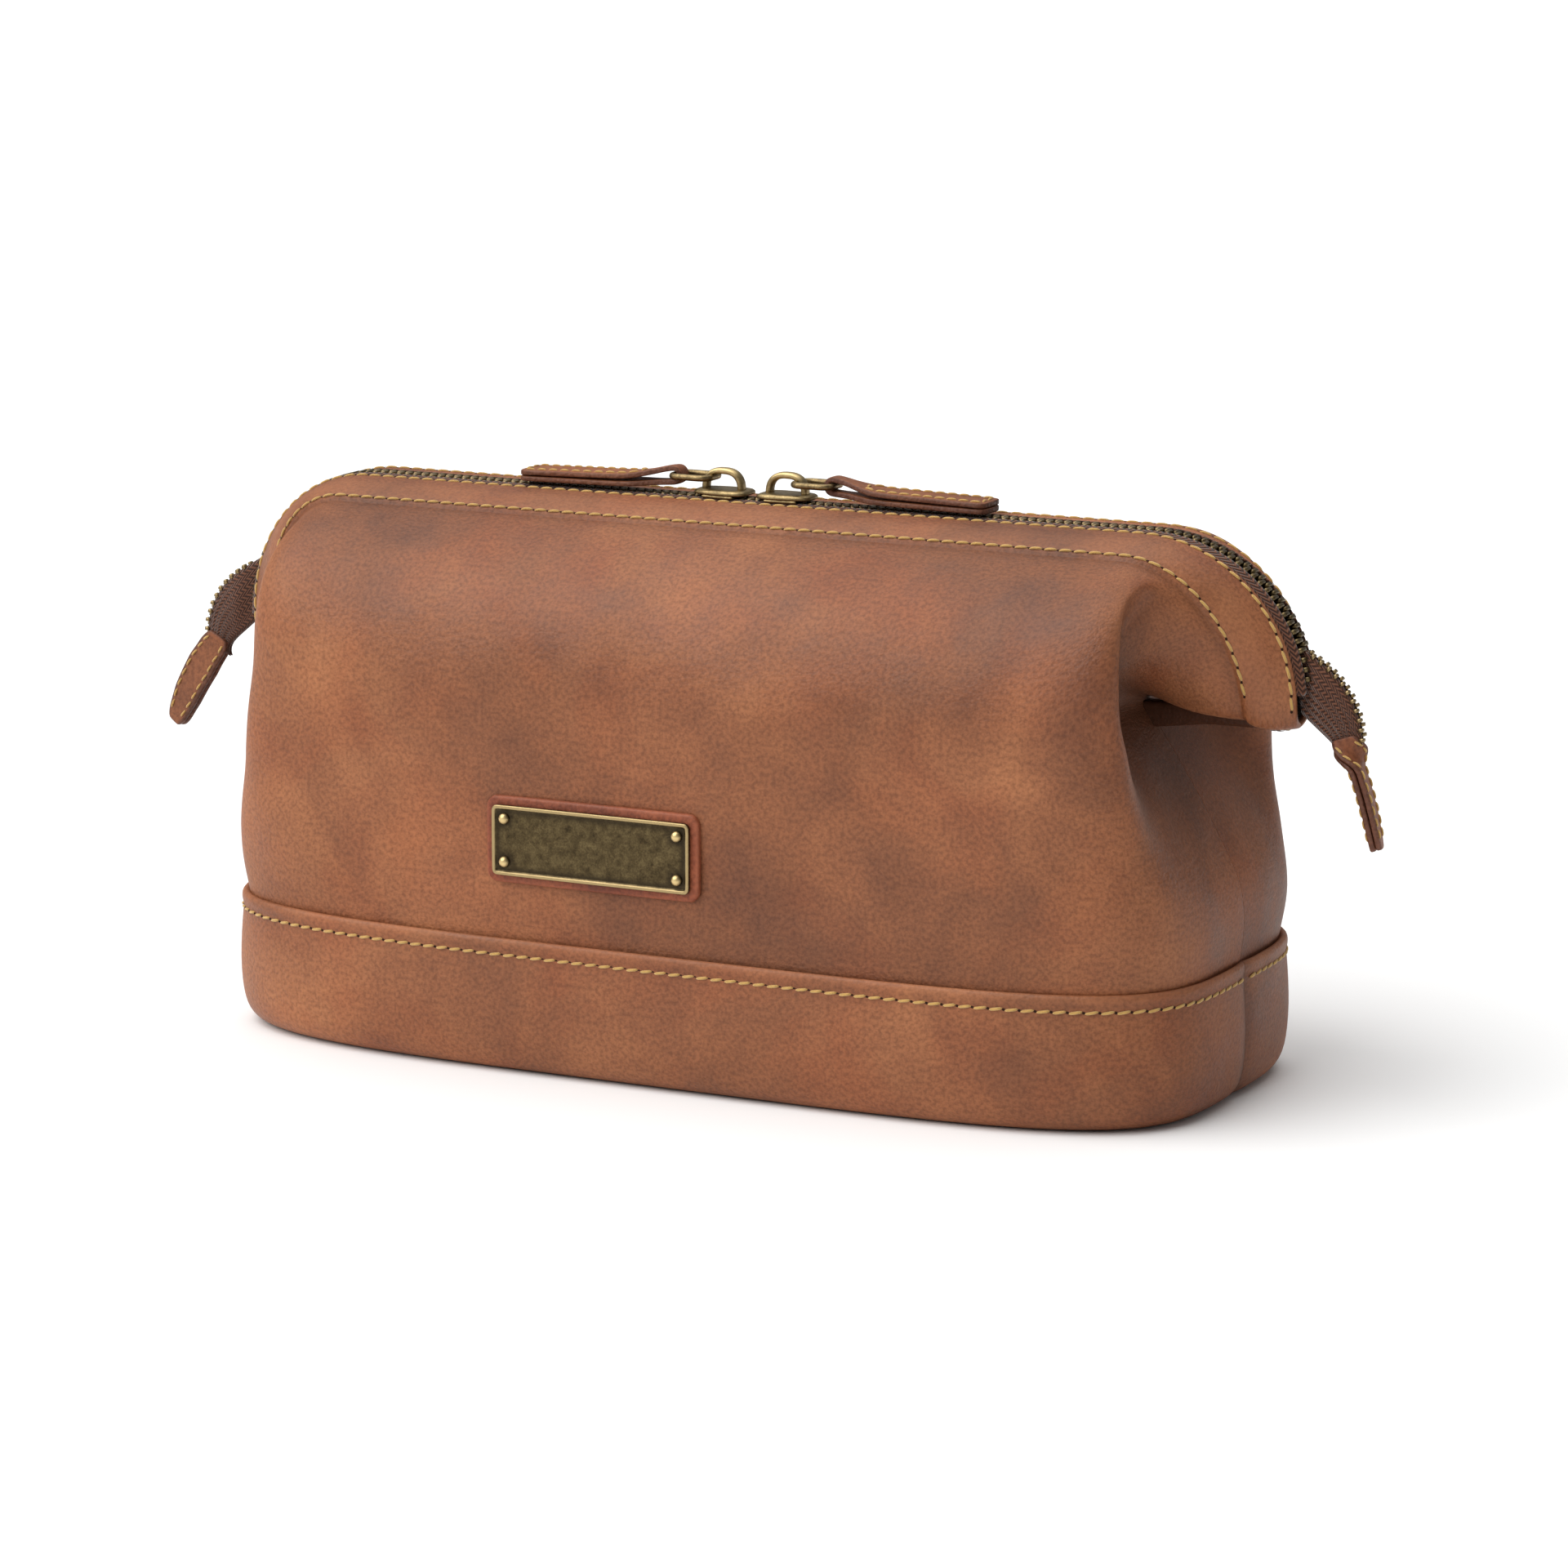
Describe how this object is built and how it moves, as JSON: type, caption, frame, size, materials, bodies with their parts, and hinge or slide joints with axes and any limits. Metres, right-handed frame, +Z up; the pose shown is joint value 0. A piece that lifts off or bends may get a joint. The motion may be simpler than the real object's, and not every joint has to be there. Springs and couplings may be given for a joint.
{
  "type": "wash bag",
  "caption": "Leather wash bag with a reinforced base band, a wire-framed zip mouth that swings open, double zip sliders with leather pulls, and a blank metal name plate.",
  "frame": {"origin": "on the floor under the middle of the bag", "axes": "+X along the bag's length to the right, -Y towards the front with the name plate, +Z up"},
  "size_m": [0.3525, 0.1267, 0.1534],
  "materials": {
    "leather": "waxed pull-up leather, mottled brown, fine grain, satin",
    "leather_patch": "redder brown leather patch, satin",
    "lining": "plain woven cotton lining",
    "board": "fibre board stiffener",
    "zip_tape": "woven zip tape, dark brown",
    "antique_brass": "antique brass, dark with worn bright edges",
    "frame_steel": "drawn steel wire"
  },
  "bodies": {
    "root": {"bottom_panel": "leather", "base_board": "board", "base_lining": "lining", "front_base_band": "leather", "rear_base_band": "leather", "front_panel": "leather", "rear_panel": "leather", "front_lining": "lining", "rear_lining": "lining", "inner_pocket": "lining", "plate_backing": "leather_patch", "name_plate": "antique_brass", "plate_pins": "antique_brass", "left_hinge_tab": "leather", "right_hinge_tab": "leather", "left_hinge_rivet": "antique_brass", "right_hinge_rivet": "antique_brass", "left_tail_anchor": "zip_tape", "right_tail_anchor": "zip_tape"},
    "front_half": {"front_frame_wire": "frame_steel", "front_mouth_strip": "leather", "front_facing": "leather", "front_shoulder": "leather", "front_zip_tape": "zip_tape", "front_zip_teeth": "antique_brass"},
    "rear_half": {"rear_frame_wire": "frame_steel", "rear_mouth_strip": "leather", "rear_facing": "leather", "rear_shoulder": "leather", "rear_zip_tape": "zip_tape", "rear_zip_teeth": "antique_brass"},
    "left_slider": {"left_slider": "antique_brass"},
    "right_slider": {"right_slider": "antique_brass"},
    "left_ring": {"left_pull_ring": "antique_brass"},
    "right_ring": {"right_pull_ring": "antique_brass"},
    "left_pull": {"left_pull": "leather"},
    "right_pull": {"right_pull": "leather"},
    "left_tail": {"left_tail_tape": "zip_tape", "left_tail_tab": "leather"},
    "right_tail": {"right_tail_tape": "zip_tape", "right_tail_tab": "leather"}
  },
  "joints": [
    {"name": "front_mouth_hinge", "type": "hinge", "parent": "root", "child": "front_half", "pos_m": [0, 0, 0.09955], "axis": [1, 0, 0], "range_deg": [0, 60]},
    {"name": "rear_mouth_hinge", "type": "hinge", "parent": "root", "child": "rear_half", "pos_m": [0, 0, 0.09955], "axis": [-1, 0, 0], "range_deg": [0, 60]},
    {"name": "left_slider_travel", "type": "slide", "parent": "front_half", "child": "left_slider", "axis": [-1, 0, 0], "range_m": [0, 0.085]},
    {"name": "right_slider_travel", "type": "slide", "parent": "front_half", "child": "right_slider", "axis": [1, 0, 0], "range_m": [0, 0.085]},
    {"name": "left_ring_hinge", "type": "hinge", "parent": "left_slider", "child": "left_ring", "pos_m": [-0.0122, 0, 0.1498], "axis": [0, 1, 0], "range_deg": [0, 95]},
    {"name": "right_ring_hinge", "type": "hinge", "parent": "right_slider", "child": "right_ring", "pos_m": [0.0122, 0, 0.1498], "axis": [0, -1, 0], "range_deg": [0, 95]},
    {"name": "left_pull_hinge", "type": "hinge", "parent": "left_ring", "child": "left_pull", "pos_m": [-0.0232, 0, 0.1498], "axis": [0, 1, 0], "range_deg": [0, 80]},
    {"name": "right_pull_hinge", "type": "hinge", "parent": "right_ring", "child": "right_pull", "pos_m": [0.0232, 0, 0.1498], "axis": [0, -1, 0], "range_deg": [0, 80]},
    {"name": "left_tail_hinge", "type": "hinge", "parent": "root", "child": "left_tail", "pos_m": [-0.1578, 0, 0.09955], "axis": [0, 0, 1], "range_deg": [-35, 35]},
    {"name": "right_tail_hinge", "type": "hinge", "parent": "root", "child": "right_tail", "pos_m": [0.1578, 0, 0.09955], "axis": [0, 0, 1], "range_deg": [-35, 35]}
  ]
}
